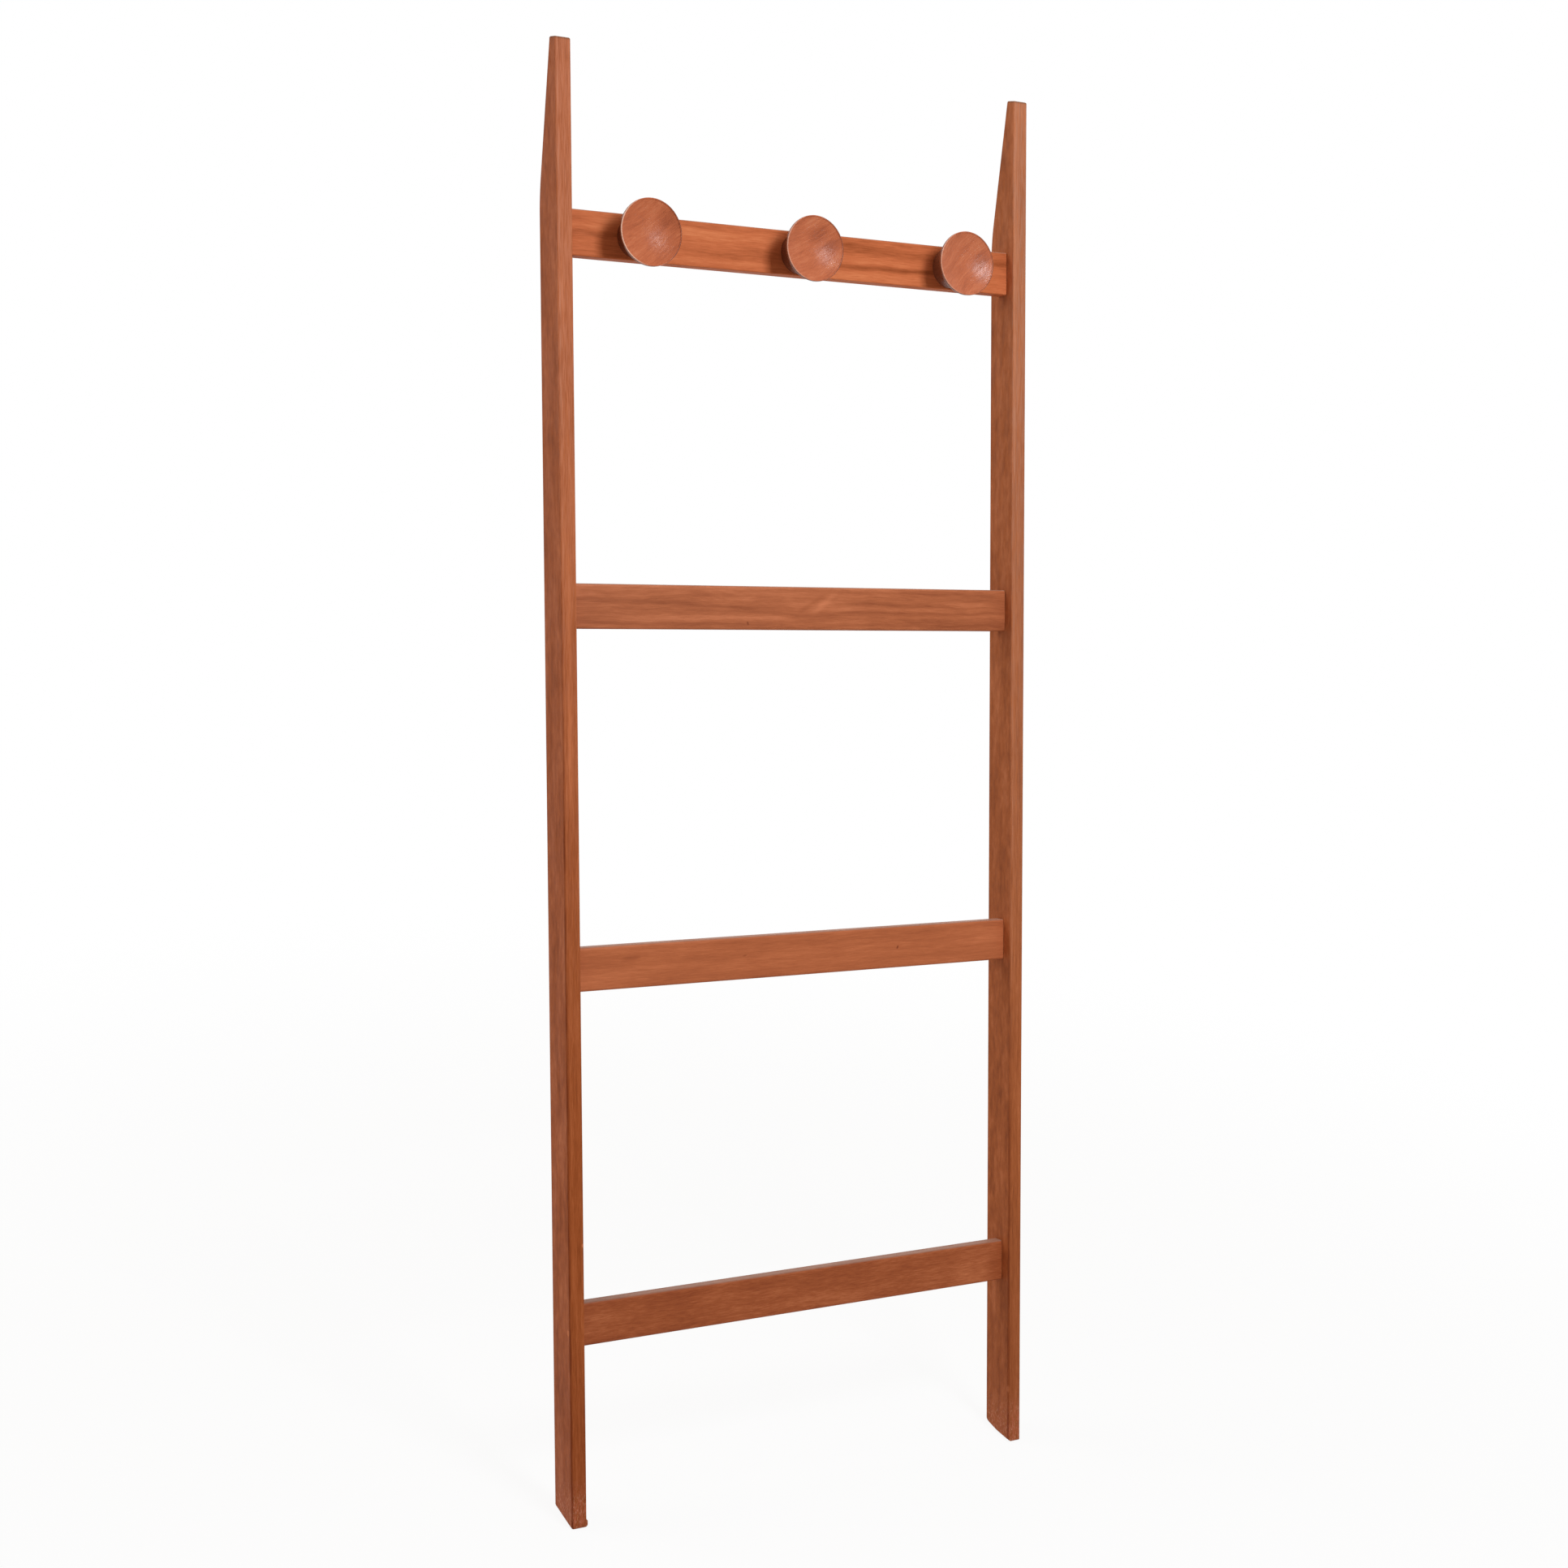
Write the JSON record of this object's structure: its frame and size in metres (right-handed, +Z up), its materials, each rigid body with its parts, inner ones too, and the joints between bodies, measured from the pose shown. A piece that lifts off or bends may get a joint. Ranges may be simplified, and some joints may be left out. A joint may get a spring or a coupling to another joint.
{
  "type": "ladder coat rack",
  "caption": "Leaning ladder rack in teak, with tapered stiles, plain flat rungs and a top rail of round dished coat pegs, made to rest against a wall.",
  "frame": {"origin": "middle of the leaning rack's box at floor level, under the point halfway between its feet and the wall", "axes": "+X along the rungs to the right as one faces the pegs, +Y towards the wall it leans on, +Z up"},
  "size_m": [0.6, 0.3366, 1.5816],
  "materials": {
    "stile_teak": "oiled satin",
    "slat_teak": "oiled satin",
    "peg_teak": "oiled satin, turned",
    "dowel_beech": "raw, glued in",
    "screw_brass": "dull"
  },
  "bodies": {
    "root": {"left_stile": "stile_teak", "right_stile": "stile_teak", "lower_rung": "slat_teak", "middle_rung": "slat_teak", "upper_rung": "slat_teak", "peg_rail": "slat_teak", "left_peg": "peg_teak", "middle_peg": "peg_teak", "right_peg": "peg_teak", "left_peg_screw": "screw_brass", "middle_peg_screw": "screw_brass", "right_peg_screw": "screw_brass", "lower_rung_left_lower_dowel": "dowel_beech", "lower_rung_left_upper_dowel": "dowel_beech", "lower_rung_right_lower_dowel": "dowel_beech", "lower_rung_right_upper_dowel": "dowel_beech", "middle_rung_left_lower_dowel": "dowel_beech", "middle_rung_left_upper_dowel": "dowel_beech", "middle_rung_right_lower_dowel": "dowel_beech", "middle_rung_right_upper_dowel": "dowel_beech", "upper_rung_left_lower_dowel": "dowel_beech", "upper_rung_left_upper_dowel": "dowel_beech", "upper_rung_right_lower_dowel": "dowel_beech", "upper_rung_right_upper_dowel": "dowel_beech", "peg_rail_left_lower_dowel": "dowel_beech", "peg_rail_left_upper_dowel": "dowel_beech", "peg_rail_right_lower_dowel": "dowel_beech", "peg_rail_right_upper_dowel": "dowel_beech"}
  },
  "joints": []
}
